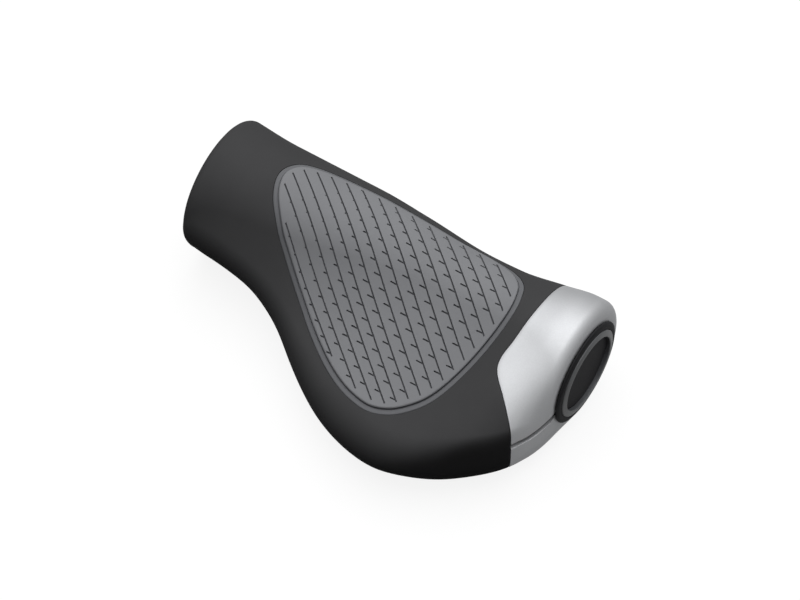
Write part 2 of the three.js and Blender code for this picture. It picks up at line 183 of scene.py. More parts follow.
def greyPadRubber():
    # Grey rubber moulded on its own: the raised field is rubbed a little lighter than its band, and
    # painted shade darkens the grooves' floors and the foot of the field's side.
    # The attribute rise is the height over the rubber's skin.
    look = padLook
    material, tree, place = startMaterial(look["name"])
    rise = addNode(tree, "ShaderNodeAttribute", attribute_name="rise").outputs["Fac"]
    colour = clouded(tree, place, look)
    # Low points, the groove floors and the foot of the field's side, get the painted shade; the flush band
    # keeps its own colour
    for deep in ("grooveShade", "band"):
        share = ramp(tree, rise, *look[deep + "Ends"], 0, 1)
        colour = blendColours(tree, share, linear(look[deep]), colour)
    closeMaterial(tree, place, look, colour)
    return material


finishes = {
    "rubber": plainMaterial(rubberLook), "padRubber": greyPadRubber(), "alloy": plainMaterial(alloyLook),
    "nylon": plainMaterial(nylonLook), "trim": plainMaterial(trimLook), "steel": plainMaterial(steelLook)}
print("materials made")


# Mesh helpers

def weldGrids(name, grids, material):
    # One closed piece from grids of points in millimetres, joined where their borders meet
    joinWithin, sliver = 0.001 * mm, 0.0001 * mm
    build = bmesh.new()
    for grid in grids:
        rows = [[build.verts.new(Vector(point) * mm) for point in row] for row in grid]
        for near, far in zip(rows, rows[1:]):
            for k in range(len(near) - 1):
                build.faces.new((near[k], near[k + 1], far[k + 1], far[k]))
    bmesh.ops.remove_doubles(build, verts=build.verts, dist=joinWithin)
    bmesh.ops.dissolve_degenerate(build, edges=build.edges, dist=sliver)
    bmesh.ops.recalc_face_normals(build, faces=build.faces)
    mesh = bpy.data.meshes.new(name)
    build.to_mesh(mesh)
    build.free()
    mesh.materials.append(material)
    piece = bpy.data.objects.new(name, mesh)
    bpy.context.collection.objects.link(piece)
    return piece


def settle(piece):
    # Turns what the modifiers make into the piece's own plain mesh
    bpy.context.view_layer.update()
    graph = bpy.context.evaluated_depsgraph_get()
    mesh = bpy.data.meshes.new_from_object(piece.evaluated_get(graph), depsgraph=graph)
    piece.modifiers.clear()
    piece.data = mesh


def cutAway(piece, cutter):
    modifier = piece.modifiers.new("cut", "BOOLEAN")
    modifier.operation = "DIFFERENCE"
    modifier.solver = "MANIFOLD"
    modifier.object = cutter
    settle(piece)
    bpy.data.objects.remove(cutter)


def softenEdges(piece, width, angle, segments=2):
    modifier = piece.modifiers.new("edges", "BEVEL")
    modifier.width = width * mm
    modifier.segments = segments
    modifier.limit_method = "ANGLE"
    modifier.angle_limit = math.radians(angle)
    modifier.use_clamp_overlap = True
    settle(piece)


def finish(piece, node, sharp):
    # Smooth shading up to the sharp edges, and the piece's place in the frame
    piece.data.shade_smooth()
    piece.data.set_sharp_from_angle(angle=math.radians(sharp))
    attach(piece, "root")
    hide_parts(node)
    print(piece.name, "done,", sum(len(face.vertices) - 2 for face in piece.data.polygons), "triangles")


def roundedProfile(corners, closed=False, steps=4):
    # Corners are (along, radius, setback of the rounding); a setback takes at most this share of a side
    longest = 0.45
    points = []
    count = len(corners)
    for i, (along, radius, back) in enumerate(corners):
        corner = np.array([along, radius], float)
        if back == 0 or (not closed and i in (0, count - 1)):
            points.append(corner)
            continue
        sides = [np.array(corners[j][:2], float) - corner for j in (i - 1, (i + 1) % count)]
        start, end = (corner + side / np.linalg.norm(side) * min(back, longest * np.linalg.norm(side))
                      for side in sides)
        for t in np.linspace(0, 1, steps + 1):
            points.append((1 - t) ** 2 * start + 2 * t * (1 - t) * corner + t ** 2 * end)
    if closed:
        points.append(points[0])
    return np.array(points)


def turned(profile, segments=160, upright=False, centre=(0, 0, 0)):
    # A profile of along and radius turned about X, or about Z when upright
    angles = np.linspace(0, 2 * math.pi, segments + 1)
    along = np.repeat(profile[:, :1], segments + 1, axis=1)
    side = profile[:, 1:] * np.cos(angles)
    lift = profile[:, 1:] * np.sin(angles)
    parts = (side, lift, along) if upright else (along, side, lift)
    return np.stack(parts, axis=2) + np.array(centre)


# The skin's law, the same for every piece that carries the outer shape
skin = {
    "length": 101, "rimRadius": 16.8, "rimFillet": 2.5, "thumbRadius": 15.9, "waistRadius": 13.9,
    "shoulderRadius": 17.0, "endFillet": 3.0, "wingReach": 44.3, "edgeHalfHeight": 7.6, "edgeDrop": 5.5,
    "clampEdgeHalfHeight": 9.6, "clampEdgeDrop": 4.4, "topHollow": math.radians(7),
    "underHollow": math.radians(9), "fullHollowAt": 0.6, "handle": 0.36, "around": 208, "turnWeight": 5,
    "barrelEase": 0.3, "innerEdgeExtra": 3, "arcPoints": 60, "bendPoints": 50,
}


def smoothLine(pairs):
    # A smooth line through pairs of position and value, without overshoot
    place, value = np.array(pairs, float).T
    step = np.diff(value) / np.diff(place)
    slope = np.concatenate([step[:1], np.zeros(len(step) - 1), step[-1:]])
    for i in range(1, len(step)):
        if step[i - 1] * step[i] > 0:
            slope[i] = 2 * step[i - 1] * step[i] / (step[i - 1] + step[i])

    def at(x):
        x = min(max(x, place[0]), place[-1])
        i = min(max(int(np.searchsorted(place, x)) - 1, 0), len(step) - 1)
        width = place[i + 1] - place[i]
        t = (x - place[i]) / width
        return ((2 * t ** 3 - 3 * t ** 2 + 1) * value[i] + (t ** 3 - 2 * t ** 2 + t) * width * slope[i]
                + (3 * t ** 2 - 2 * t ** 3) * value[i + 1] + (t ** 3 - t ** 2) * width * slope[i + 1])
    return at


def softened(line, window, side=4):
    # The line averaged over a stretch, so that its bend changes evenly
    def at(x):
        width = min(window, x, 1 - x)
        return sum(line(x + width * k / side) for k in range(-side, side + 1)) / (2 * side + 1)
    return at


def hermite(start, end, pull, push, t):
    # A point of the cubic that leaves start along pull and reaches end along push
    return ((2 * start - 2 * end + pull + push) * t ** 3
            + (-3 * start + 3 * end - 2 * pull - push) * t ** 2 + pull * t + start)


rim, thumb, waist, shoulder = (skin[part + "Radius"] for part in ("rim", "thumb", "waist", "shoulder"))
barrelLine = smoothLine([
    (0, rim), (0.14, thumb), (0.37, thumb), (0.5, (thumb + waist) / 2 + skin["barrelEase"]), (0.68, waist),
    (0.76, waist + 0.2), (0.87, (waist + shoulder) / 2 + skin["barrelEase"]), (0.95, shoulder),
    (1, shoulder)])
reachLine = softened(smoothLine([
    (0, 0), (0.05, 0.048), (0.12, 0.088), (0.2, 0.135), (0.3, 0.28), (0.42, 0.603), (0.48, 0.755),
    (0.55, 0.889), (0.61, 0.962), (0.65, 0.991), (0.69, 1.003), (0.72, 0.995), (0.76, 0.953), (0.8, 0.886),
    (0.83, 0.82), (0.87, 0.7), (0.9, 0.592), (0.94, 0.442), (0.975, 0.25), (0.99, 0.12), (1, 0)]), 0.03)
rear, clampRear = skin["edgeHalfHeight"], skin["clampEdgeHalfHeight"]
edgeHeightLine = smoothLine([
    (0, rear + skin["innerEdgeExtra"]), (0.25, rear), (0.75, rear), (0.9, clampRear), (1, clampRear)])
drop, clampDrop = skin["edgeDrop"], skin["clampEdgeDrop"]
edgeDropLine = smoothLine([
    (0.03, 0), (0.2, 0.2 * drop), (0.4, 0.85 * drop), (0.55, drop), (0.7, drop), (0.9, clampDrop),
    (1, clampDrop)])
edgeSquarenessLine = smoothLine([(0, 2), (0.72, 2), (0.89, 3.3), (0.95, 3), (1, 2)])
topSquarenessLine = smoothLine([(0, 2), (0.72, 2), (0.84, 2.9), (0.9, 4.4), (0.96, 4.4), (1, 2.4)])
hollowLine = smoothLine([(0, 1), (0.74, 1), (0.87, 0), (1, 0)])


def endInset(x):
    # How far the rounded ends draw the skin in
    rim, end = skin["rimFillet"], skin["endFillet"]
    intoRim = max(0, rim - x)
    intoEnd = max(0, x - (skin["length"] - end))
    return (rim - math.sqrt(max(0, rim ** 2 - intoRim ** 2))
            + end - math.sqrt(max(0, end ** 2 - intoEnd ** 2)))


def commonTangent(barrel, y, z, half, squareness, halvings=24):
    # A line touches both the barrel and the rear edge: its normal's turn back from +Z
    power = squareness / (squareness - 1)
    low, high = 0.0, math.pi / 2
    for _ in range(halvings):
        turn = (low + high) / 2
        reach = half * (math.sin(turn) ** power + math.cos(turn) ** power) ** (1 / power)
        if reach - y * math.sin(turn) + z * math.cos(turn) < barrel:
            low = turn
        else:
            high = turn
    return low


def edgeArc(y, z, half, squareness, turn):
    # Points of the squared-off rear edge whose outward normal is turned this far back from +Z
    power = squareness / (squareness - 1)
    side, up = np.abs(np.sin(turn)), np.abs(np.cos(turn))
    size = ((half * side) ** power + (half * up) ** power) ** (1 / squareness)
    back = half ** power * side ** (power - 1) / size
    rise = half ** power * up ** (power - 1) / size
    return y - back, z + np.sign(np.cos(turn)) * rise


def halfSection(x, side):
    # From the barrel's front over its top (side 1) or under it (side -1) to the rear edge,
    # as rows of y, z and the outward normal
    share = x / skin["length"]
    barrel, half = barrelLine(share), edgeHeightLine(share)
    edgeY = -(barrel + (skin["wingReach"] - barrel) * reachLine(share) - half)
    edgeZ = -edgeDropLine(share) * side
    squareness = topSquarenessLine(share) if side > 0 else edgeSquarenessLine(share)
    distance = math.hypot(edgeY, edgeZ)
    slope = commonTangent(barrel, edgeY, edgeZ, half, squareness)
    deepest = skin["fullHollowAt"] * skin["wingReach"]
    fade = min(max((distance - barrel + half) / (deepest - barrel + half), 0), 1)
    hollow = (skin["topHollow"] if side > 0 else skin["underHollow"]) * fade * fade * (3 - 2 * fade)
    hollow *= hollowLine(share)
    leave, arrive = slope + hollow, max(slope - hollow, 0.01)
    turn = np.linspace(0, math.pi / 2 + leave, skin["arcPoints"])
    y, z, angle = barrel * np.cos(turn), barrel * np.sin(turn), turn
    rear = np.linspace(arrive, math.pi / 2, skin["arcPoints"])
    rearY, rearZ = edgeArc(edgeY, edgeZ, half, squareness, rear)
    reach = skin["handle"] * math.hypot(rearY[0] - y[-1], rearZ[0] - z[-1])
    if reach > 0.01:
        t = np.linspace(0, 1, skin["bendPoints"])[1:-1]
        knots = np.array([
            (y[-1], z[-1]), (y[-1] - reach * math.cos(leave), z[-1] - reach * math.sin(leave)),
            (rearY[0] + reach * math.cos(arrive), rearZ[0] + reach * math.sin(arrive)),
            (rearY[0], rearZ[0])])
        weights = np.stack([(1 - t) ** 3, 3 * t * (1 - t) ** 2, 3 * t ** 2 * (1 - t), t ** 3], axis=1)
        bend = weights @ knots
        along = np.stack([(1 - t) ** 2, 2 * t * (1 - t), t ** 2], axis=1) @ np.diff(knots, axis=0)
        y, z = np.append(y, bend[:, 0]), np.append(z, bend[:, 1])
        angle = np.append(angle, np.arctan2(-along[:, 0], along[:, 1]))
    y, z = np.append(y, rearY), np.append(z, rearZ)
    angle = np.append(angle, math.pi / 2 + rear)
    inset = endInset(x)
    normalY, normalZ = np.cos(angle), np.sin(angle)
    return np.stack([y - inset * normalY, side * (z - inset * normalZ), normalY, side * normalZ], axis=1)


def spread(line, count):
    # Rows spaced by length and by how much the line turns, so that tight bends get more
    step = np.hypot(*np.diff(line[:, :2], axis=0).T)
    turn = np.arccos(np.clip(np.sum(line[1:, 2:] * line[:-1, 2:], axis=1), -1, 1))
    at = np.concatenate([[0], np.cumsum(step + skin["turnWeight"] * turn)])
    goals = np.linspace(0, at[-1], count + 1)
    rows = np.stack([np.interp(goals, at, line[:, i]) for i in range(4)], axis=1)
    rows[:, 2:] /= np.linalg.norm(rows[:, 2:], axis=1)[:, None]
    return rows


def wholeOutline(x):
    # The closed outline across the bar, with its first row again at the end
    half = skin["around"] // 2
    return np.vstack([spread(halfSection(x, 1), half)[:-1], spread(halfSection(x, -1)[::-1], half)])


def outlineTable(outline, stations):
    return {"x": np.array(stations), "rows": np.array([outline(x) for x in stations])}


def readTable(table, x, grow=0):
    # The outline's rows at one x, or with each line at its own x, moved outwards by grow
    x = np.full(table["rows"].shape[1], x, float)
    i = np.clip(np.searchsorted(table["x"], x) - 1, 0, len(table["x"]) - 2)
    t = ((x - table["x"][i]) / (table["x"][i + 1] - table["x"][i]))[:, None]
    lines = np.arange(len(x))
    rows = table["rows"][i, lines] * (1 - t) + table["rows"][i + 1, lines] * t
    return np.stack([x, rows[:, 0] + grow * rows[:, 2], rows[:, 1] + grow * rows[:, 3]], axis=1)


def easedSteps(start, stop, count, roundStart=False):
    # Steps that get shorter towards a rounded end
    t = np.linspace(0, math.pi / 2, count + 1)
    return list(start + (stop - start) * ((1 - np.cos(t)) if roundStart else np.sin(t)))


# Clamp: the seam's bulge behind the bar, the tongue, the pinch slot and the bolt's hole
clampSizes = {
    "length": 12.7, "bulge": 1.6, "bulgeReach": 13.5, "tongueFromEnd": 4, "tongueReach": 25.5,
    "slotTop": -0.8, "slotBottom": -2.8, "socket": 12.55, "edge": 0.28, "lines": 190,
    "boltX": 94.4, "boltY": -17, "headHole": 3.8, "shankHole": 2.3, "seat": -6.8, "holeTop": 5.5,
    "holeBottom": -30, "searchFrom": 80,
}


def seamLine(shift):
    # The seam in plan as x for a given y, moved this far towards the inner end
    s = clampSizes
    seam, end, behind = skin["length"] - s["length"], skin["length"], s["tongueReach"] - s["bulgeReach"]
    knots = np.array([
        (seam, 0.4 * s["bulgeReach"]), (seam - 0.1 * s["bulge"], 0),
        (seam - 0.6 * s["bulge"], -0.65 * s["bulgeReach"]), (seam - s["bulge"], -s["bulgeReach"]),
        (seam - 0.3 * s["bulge"], -s["bulgeReach"] - 0.28 * behind),
        ((seam + end - s["tongueFromEnd"]) / 2 - 0.2 * s["bulge"], -s["bulgeReach"] - 0.64 * behind),
        (end - s["tongueFromEnd"], -s["tongueReach"]), (end, -s["tongueReach"] - s["tongueFromEnd"])])
    padded = np.vstack([knots[:1], knots, knots[-1:]])
    points = [knots[0] + (0, 20)]
    for p0, p1, p2, p3 in zip(padded, padded[1:], padded[2:], padded[3:]):
        for t in np.linspace(0, 1, 24, endpoint=False):
            points.append(hermite(p1, p2, (p2 - p0) / 2, (p3 - p1) / 2, t))
    points = np.array(points + [knots[-1]])
    along = np.gradient(points, axis=0)
    along /= np.linalg.norm(along, axis=1)[:, None]
    moved = points + np.stack([along[:, 1], -along[:, 0]], axis=1) * shift
    return lambda y: np.interp(y, moved[::-1, 1], moved[::-1, 0])


def seamPlaces(table, seam, halvings=30):
    # Where each line of the table meets the seam
    lines = table["rows"].shape[1]
    low, high = (np.full(lines, x, float) for x in (clampSizes["searchFrom"], skin["length"]))
    for _ in range(halvings):
        middle = (low + high) / 2
        before = middle < seam(readTable(table, middle)[:, 1])
        low, high = np.where(before, middle, low), np.where(before, high, middle)
    return low


# Grip body: moulded rubber over the sleeve, a soft edge at the seam and a lip at the inner end
bodySizes = {"seamGap": 0.1, "seamEdge": 0.35, "bore": 11.25, "socket": 12.55, "lip": 1.5,
             "chamfer": 0.3, "stationPitch": 0.4, "plainStart": 3.2, "plainEnd": 76, "rimRings": 9,
             "plainRings": 92, "seamRings": 19, "edgeRings": 6, "wallSteps": 10}


def gripBody():
    s = bodySizes
    length, endRound, rimFillet = skin["length"], skin["length"] - skin["endFillet"], skin["rimFillet"]
    stations = easedSteps(0, rimFillet, 20, True)
    stations += list(np.arange(rimFillet + s["stationPitch"], endRound - 0.1, s["stationPitch"]))
    table = outlineTable(wholeOutline, stations + easedSteps(endRound, length, 16))
    seam = seamLine(s["seamGap"])
    lines = table["rows"].shape[1]
    ends = seamPlaces(table, seam)
    rings = [readTable(table, x) for x in easedSteps(0, rimFillet, s["rimRings"], True)]
    rings += [readTable(table, x) for x in np.linspace(s["plainStart"], s["plainEnd"], s["plainRings"])]
    last = ends - s["seamEdge"]
    for t in np.linspace(0, 1, s["seamRings"])[1:]:
        rings.append(readTable(table, s["plainEnd"] + (last - s["plainEnd"]) * t))
    for turn in np.linspace(0, math.pi / 2, s["edgeRings"])[1:]:
        back = s["seamEdge"] * (1 - math.sin(turn))
        ring = readTable(table, ends - back, -s["seamEdge"] * (1 - math.cos(turn)))
        ring[:, 0] = np.minimum(ends, seam(ring[:, 1])) - back
        rings.append(ring)
    edge = rings[-1]
    angle = np.arctan2(edge[:, 2], edge[:, 1])
    circle = np.stack([np.cos(angle), np.sin(angle)], axis=1)
    for t in np.linspace(0, 1, s["wallSteps"] + 1)[1:]:
        flat = edge[:, 1:] * (1 - t) + s["socket"] * circle * t
        rings.append(np.column_stack([seam(flat[:, 0]), flat]))
    for x, radius in ((60, s["socket"]), (30, s["socket"]), (s["lip"], s["socket"]), (s["lip"], s["bore"]),
                      (s["chamfer"], s["bore"]), (0, s["bore"] + s["chamfer"])):
        rings.append(np.column_stack([np.full(lines, float(x)), radius * circle]))
    rings.append(rings[0])
    return weldGrids("gripBody", [np.array(rings)], finishes["rubber"])


body = gripBody()
print("grip body lofted")


# Pad: a flush band round a raised field, let into a well in the body
padSizes = {
    "inner": 17.4, "outer": 83.8, "front": 9.6, "rear": 37.0, "depth": 0.6, "rise": 0.65, "band": 1.3,
    "wellGap": 0.1, "wellTop": 40, "pointsRound": 380, "wellRings": 40, "underRings": 12, "fieldRings": 46,
}
padOutline = [
    (0, 0.185), (0.02, 0.3), (0.093, 0.431), (0.179, 0.534), (0.28, 0.652), (0.399, 0.792), (0.517, 0.908),
    (0.62, 0.976), (0.718, 1), (0.792, 0.968), (0.855, 0.895), (0.907, 0.796), (0.971, 0.549), (1, 0.283),
    (0.988, 0.172), (0.965, 0.1), (0.911, 0.039), (0.794, 0), (0.648, 0.002), (0.354, 0.006),
    (0.108, 0.041), (0.033, 0.09)]


def slopeThrough(before, here, after, gap, nextGap):
    # The slope of a curve through three points, by the gaps between them
    return (here - before) / gap - (after - before) / (gap + nextGap) + (after - here) / nextGap


def padPlan():
    # The pad's outline in plan, from shares of its length and depth, and its inward normals
    s = padSizes
    knots = np.array([(s["inner"] + (s["outer"] - s["inner"]) * along,
                       s["front"] - (s["front"] + s["rear"]) * back) for along, back in padOutline])
    points = []
    count = len(knots)
    for i in range(count):
        p = [knots[(i + j) % count] for j in (-1, 0, 1, 2)]
        gaps = [math.sqrt(np.linalg.norm(p[j + 1] - p[j])) for j in range(3)]
        pull = slopeThrough(*p[:3], *gaps[:2]) * gaps[1]
        push = slopeThrough(*p[1:], *gaps[1:]) * gaps[1]
        points += [hermite(p[1], p[2], pull, push, t) for t in np.linspace(0, 1, 40, endpoint=False)]
    points = np.array(points + points[:1])
    at = np.concatenate([[0], np.cumsum(np.linalg.norm(np.diff(points, axis=0), axis=1))])
    goals = np.linspace(0, at[-1], s["pointsRound"] + 1)
    line = np.stack([np.interp(goals, at, points[:, i]) for i in range(2)], axis=1)
    along = np.roll(line[:-1], -1, axis=0) - np.roll(line[:-1], 1, axis=0)
    along = np.vstack([along, along[:1]])
    along /= np.linalg.norm(along, axis=1)[:, None]
    inward = np.stack([-along[:, 1], along[:, 0]], axis=1)
    if np.sum((line.mean(axis=0) - line) * inward) < 0:
        inward = -inward
    return line, inward


heightGrid = {"stepX": 0.5, "stepY": 0.25, "before": 4, "beyond": 3}


def topHeights():
    # Height of the skin's upper side over the plan, as a fine table
    s, stepX, stepY = padSizes, heightGrid["stepX"], heightGrid["stepY"]
    xs = np.arange(s["inner"] - heightGrid["before"], s["outer"] + heightGrid["beyond"], stepX)
    ys = np.arange(-s["rear"] - heightGrid["beyond"], s["front"] + heightGrid["beyond"], stepY)
    lines = [halfSection(x, 1)[::-1] for x in xs]
    heights = np.array([np.interp(ys, line[:, 0], line[:, 1]) for line in lines])
    slopeX, slopeY = np.gradient(heights, xs, ys)
    lean = np.sqrt(1 + slopeX ** 2 + slopeY ** 2)

    def at(plan, rise=0.0):
        i = np.clip(((plan[:, 0] - xs[0]) / stepX).astype(int), 0, len(xs) - 2)
        j = np.clip(((plan[:, 1] - ys[0]) / stepY).astype(int), 0, len(ys) - 2)
        u, v = (plan[:, 0] - xs[i]) / stepX, (plan[:, 1] - ys[j]) / stepY
        value = heights + rise * lean
        return ((value[i, j] * (1 - v) + value[i, j + 1] * v) * (1 - u)
                + (value[i + 1, j] * (1 - v) + value[i + 1, j + 1] * v) * u)
    return at


padEdge, padInward = padPlan()
skinTop = topHeights()
# A millimetre on the skin is shorter in plan where the skin falls away
edgeSlope = skinTop(padEdge + padInward) - skinTop(padEdge)
padInward = padInward / np.sqrt(1 + edgeSlope ** 2)[:, None]


def onSkin(plan, rise):
    return np.column_stack([plan, skinTop(plan, rise)])


def padRing(inset, rise):
    return onSkin(padEdge + padInward * inset, rise)


def padCore(plan, rise, count):
    # Rings from this ring in to the pad's middle
    middle = plan[:, :2].mean(axis=0)
    return [onSkin(middle + (plan[:, :2] - middle) * t, rise) for t in np.linspace(1, 0, count + 1)[1:]]


def wellCutter():
    s = padSizes
    level = -s["depth"] - s["wellGap"]
    floor = padRing(-s["wellGap"], level)
    top = floor.copy()
    top[:, 2] = s["wellTop"]
    lid = np.column_stack([np.repeat(top[:, :2].mean(axis=0)[None], len(top), axis=0), top[:, 2]])
    rings = [lid, top, floor] + padCore(floor, level, s["wellRings"])
    return weldGrids("well", [np.array(rings)], finishes["rubber"])


def palmPad():
    # The band's rounded rim, the narrow groove beside the field, the field's side and its rounded edge
    s = padSizes
    band, rise = s["band"], s["rise"]
    profile = [
        (0, -s["depth"]), (0, -0.14), (0.04, -0.05), (0.12, 0), (0.45, 0), (band - 0.26, 0),
        (band - 0.22, -0.04), (band - 0.18, -0.14), (band - 0.06, -0.14), (band, 0.1),
        (band + 0.02, rise - 0.26), (band + 0.09, rise - 0.1), (band + 0.22, rise - 0.015),
        (band + 0.4, rise), (band + 0.9, rise)]
    rings = [padRing(inset, height) for inset, height in profile]
    under = [padRing(0, -s["depth"])] + padCore(rings[0], -s["depth"], s["underRings"])
    rings += padCore(rings[-1], rise, s["fieldRings"])
    return weldGrids("palmPad", [np.array(rings), np.array(under)], finishes["padRubber"])


pad = palmPad()
cutAway(body, wellCutter())
print("pad and its well made")


# Grooves and barbs of the pad, laid out by geometry nodes and dropped on its surface.
# Towards the wing's edge the lines crowd together and fan out, and the columns of barbs sweep with them.
patternSizes = {
    "middle": (56.17, -9.62, 0), "angle": -39.7, "reach": 22, "linePitch": 2.96, "linesBelow": 7,
    "lines": 16, "crowding": 2.0, "fan": 1.7, "sweep": 3.3, "lean": 0.75, "stretch": 1.7, "margin": 2.35,
    "width": 0.36, "depth": 0.42, "above": 0.75, "step": 0.25, "shortest": 6,
    "barbPitch": 3.6, "barbsLeft": 8, "barbs": 16, "barbAngle": 180, "barbLength": 1.9, "barbWidth": 0.36,
    "barbDepth": 0.42, "barbCentre": (66, -14, 9), "barbFade": (15, 34), "barbShare": 0.25,
}
patternSockets = [
    ("Surface", "Object"), ("Material", "Material"), ("Line Count", "Int"), ("First Line", "Vector"),
    ("Next Line", "Vector"), ("Reach", "Float"), ("Crowding", "Float"), ("Fan", "Float"),
    ("Sweep", "Float"), ("Lean", "Float"), ("Stretch", "Float"), ("Turn", "Vector"), ("Middle", "Vector")]


def startTree(name, sockets):
    tree = bpy.data.node_groups.new(name, "GeometryNodeTree")
    tree.interface.new_socket("Geometry", in_out="INPUT", socket_type="NodeSocketGeometry")
    for label, kind in sockets:
        tree.interface.new_socket(label, in_out="INPUT", socket_type="NodeSocket" + kind)
    tree.interface.new_socket("Geometry", in_out="OUTPUT", socket_type="NodeSocketGeometry")
    return tree, tree.nodes.new("NodeGroupInput").outputs


def growPiece(piece, tree, values):
    modifier = piece.modifiers.new(tree.name, "NODES")
    modifier.node_group = tree
    for item in tree.interface.items_tree:
        if item.in_out == "INPUT" and item.name in values:
            modifier[item.identifier] = values[item.name]
    settle(piece)


def calc(tree, operation, *values, **settings):
    node = addNode(tree, "ShaderNodeMath", dict(enumerate(values)), operation=operation, **settings)
    return node.outputs[0]


def pointPlace(tree):
    return addNode(tree, "GeometryNodeInputPosition").outputs[0]


def moved(tree, geometry, place):
    return addNode(tree, "GeometryNodeSetPosition", {"Geometry": geometry, "Position": place}).outputs[0]


def shifted(tree, geometry, by):
    return addNode(tree, "GeometryNodeTransform", {"Geometry": geometry, "Translation": by}).outputs[0]


def layPattern(tree, geometry, given):
    # Moves flat points, lines along X and rows along Y, to where they lie in the pad's plan.
    # Only points behind the middle line are swept, more so towards the outer end.
    flat = addNode(tree, "ShaderNodeSeparateXYZ", {0: pointPlace(tree)}).outputs
    along = calc(tree, "DIVIDE", flat["X"], given["Reach"])
    across = calc(tree, "DIVIDE", flat["Y"], given["Reach"])
    rear = calc(tree, "POWER", calc(tree, "MAXIMUM", calc(tree, "MULTIPLY", across, -1.0), 0.0), 2.0)
    swept = calc(tree, "MULTIPLY", calc(tree, "MULTIPLY", given["Sweep"], rear),
                 calc(tree, "MULTIPLY_ADD", along, 1.5, 1.0))
    leant = calc(tree, "MULTIPLY", given["Lean"], across)
    stretched = calc(tree, "MULTIPLY", given["Stretch"], calc(tree, "POWER", along, 2.0))
    x = calc(tree, "ADD", calc(tree, "SUBTRACT", flat["X"], leant), calc(tree, "ADD", swept, stretched))
    turn = calc(tree, "TANGENT", calc(tree, "MULTIPLY", given["Fan"], calc(tree, "POWER", across, 3.0)))
    crowded = calc(tree, "MULTIPLY_ADD", given["Crowding"], rear, flat["Y"])
    y = calc(tree, "SUBTRACT", crowded, calc(tree, "MULTIPLY", x, turn))
    place = addNode(tree, "ShaderNodeCombineXYZ", {"X": x, "Y": y}).outputs[0]
    return addNode(tree, "GeometryNodeTransform", {
        "Geometry": moved(tree, geometry, place), "Rotation": given["Turn"],
        "Translation": given["Middle"]}).outputs[0]


def overPlan(tree, geometry, given):
    # Rays straight down: only the points that lie over the plan are kept, and the second ray tells
    # where they meet the surface
    lift, length = (0, 0, 0.2), 1.0
    high = addNode(tree, "ShaderNodeVectorMath", {0: pointPlace(tree), 1: lift}, operation="ADD").outputs[0]
    surface = addNode(tree, "GeometryNodeObjectInfo", {"Object": given["Surface"]}).outputs["Geometry"]
    over, down = (addNode(tree, "GeometryNodeRaycast", {
        "Target Geometry": target, "Source Position": high, "Ray Direction": (0, 0, -1),
        "Ray Length": length}).outputs for target in (given["Geometry"], surface))
    outside = addNode(tree, "FunctionNodeBooleanMath", {0: over["Is Hit"]}, operation="NOT").outputs[0]
    kept = addNode(tree, "GeometryNodeDeleteGeometry", {"Geometry": geometry, "Selection": outside})
    return kept.outputs[0], down


def closeTree(tree, geometry, given):
    real = addNode(tree, "GeometryNodeRealizeInstances", {"Geometry": geometry}).outputs[0]
    painted = addNode(tree, "GeometryNodeSetMaterial", {"Geometry": real, "Material": given["Material"]})
    addNode(tree, "NodeGroupOutput", {"Geometry": painted.outputs[0]})


def pointRow(tree, given, count, first, step):
    return addNode(tree, "GeometryNodeMeshLine", {
        "Count": given[count], "Start Location": given[first], "Offset": given[step]}).outputs[0]


def repeatAcross(tree, instance, given):
    rows = pointRow(tree, given, "Line Count", "First Line", "Next Line")
    copies = addNode(tree, "GeometryNodeInstanceOnPoints", {"Points": rows, "Instance": instance})
    return addNode(tree, "GeometryNodeRealizeInstances", {"Geometry": copies.outputs[0]}).outputs[0]


def grooveTree():
    tree, given = startTree("padGrooves", patternSockets + [
        ("Line Start", "Vector"), ("Line End", "Vector"), ("Step", "Float"), ("Groove Width", "Float"),
        ("Cutter Height", "Float"), ("Cutter Centre", "Vector"), ("Shortest", "Float")])
    line = addNode(tree, "GeometryNodeCurvePrimitiveLine", {
        "Start": given["Line Start"], "End": given["Line End"]}).outputs[0]
    fine = addNode(tree, "GeometryNodeResampleCurve", {
        "Curve": repeatAcross(tree, line, given), "Length": given["Step"]}, mode="LENGTH").outputs[0]
    kept, down = overPlan(tree, layPattern(tree, fine, given), given)
    short = addNode(tree, "FunctionNodeCompare", {
        0: addNode(tree, "GeometryNodeSplineLength").outputs["Length"], 1: given["Shortest"]},
        operation="LESS_THAN").outputs[0]
    kept = addNode(tree, "GeometryNodeDeleteGeometry", {"Geometry": kept, "Selection": short},
                   domain="CURVE").outputs[0]
    placed = moved(tree, kept, down["Hit Position"])
    upright = addNode(tree, "GeometryNodeSetCurveNormal", {"Curve": placed}, mode="Z_UP").outputs[0]
    shape = addNode(tree, "GeometryNodeCurvePrimitiveQuadrilateral", {
        "Width": given["Groove Width"], "Height": given["Cutter Height"]}).outputs[0]
    shape = shifted(tree, shape, given["Cutter Centre"])
    cutter = addNode(tree, "GeometryNodeCurveToMesh", {
        "Curve": upright, "Profile Curve": shape, "Fill Caps": True}).outputs[0]
    closeTree(tree, cutter, given)
    return tree


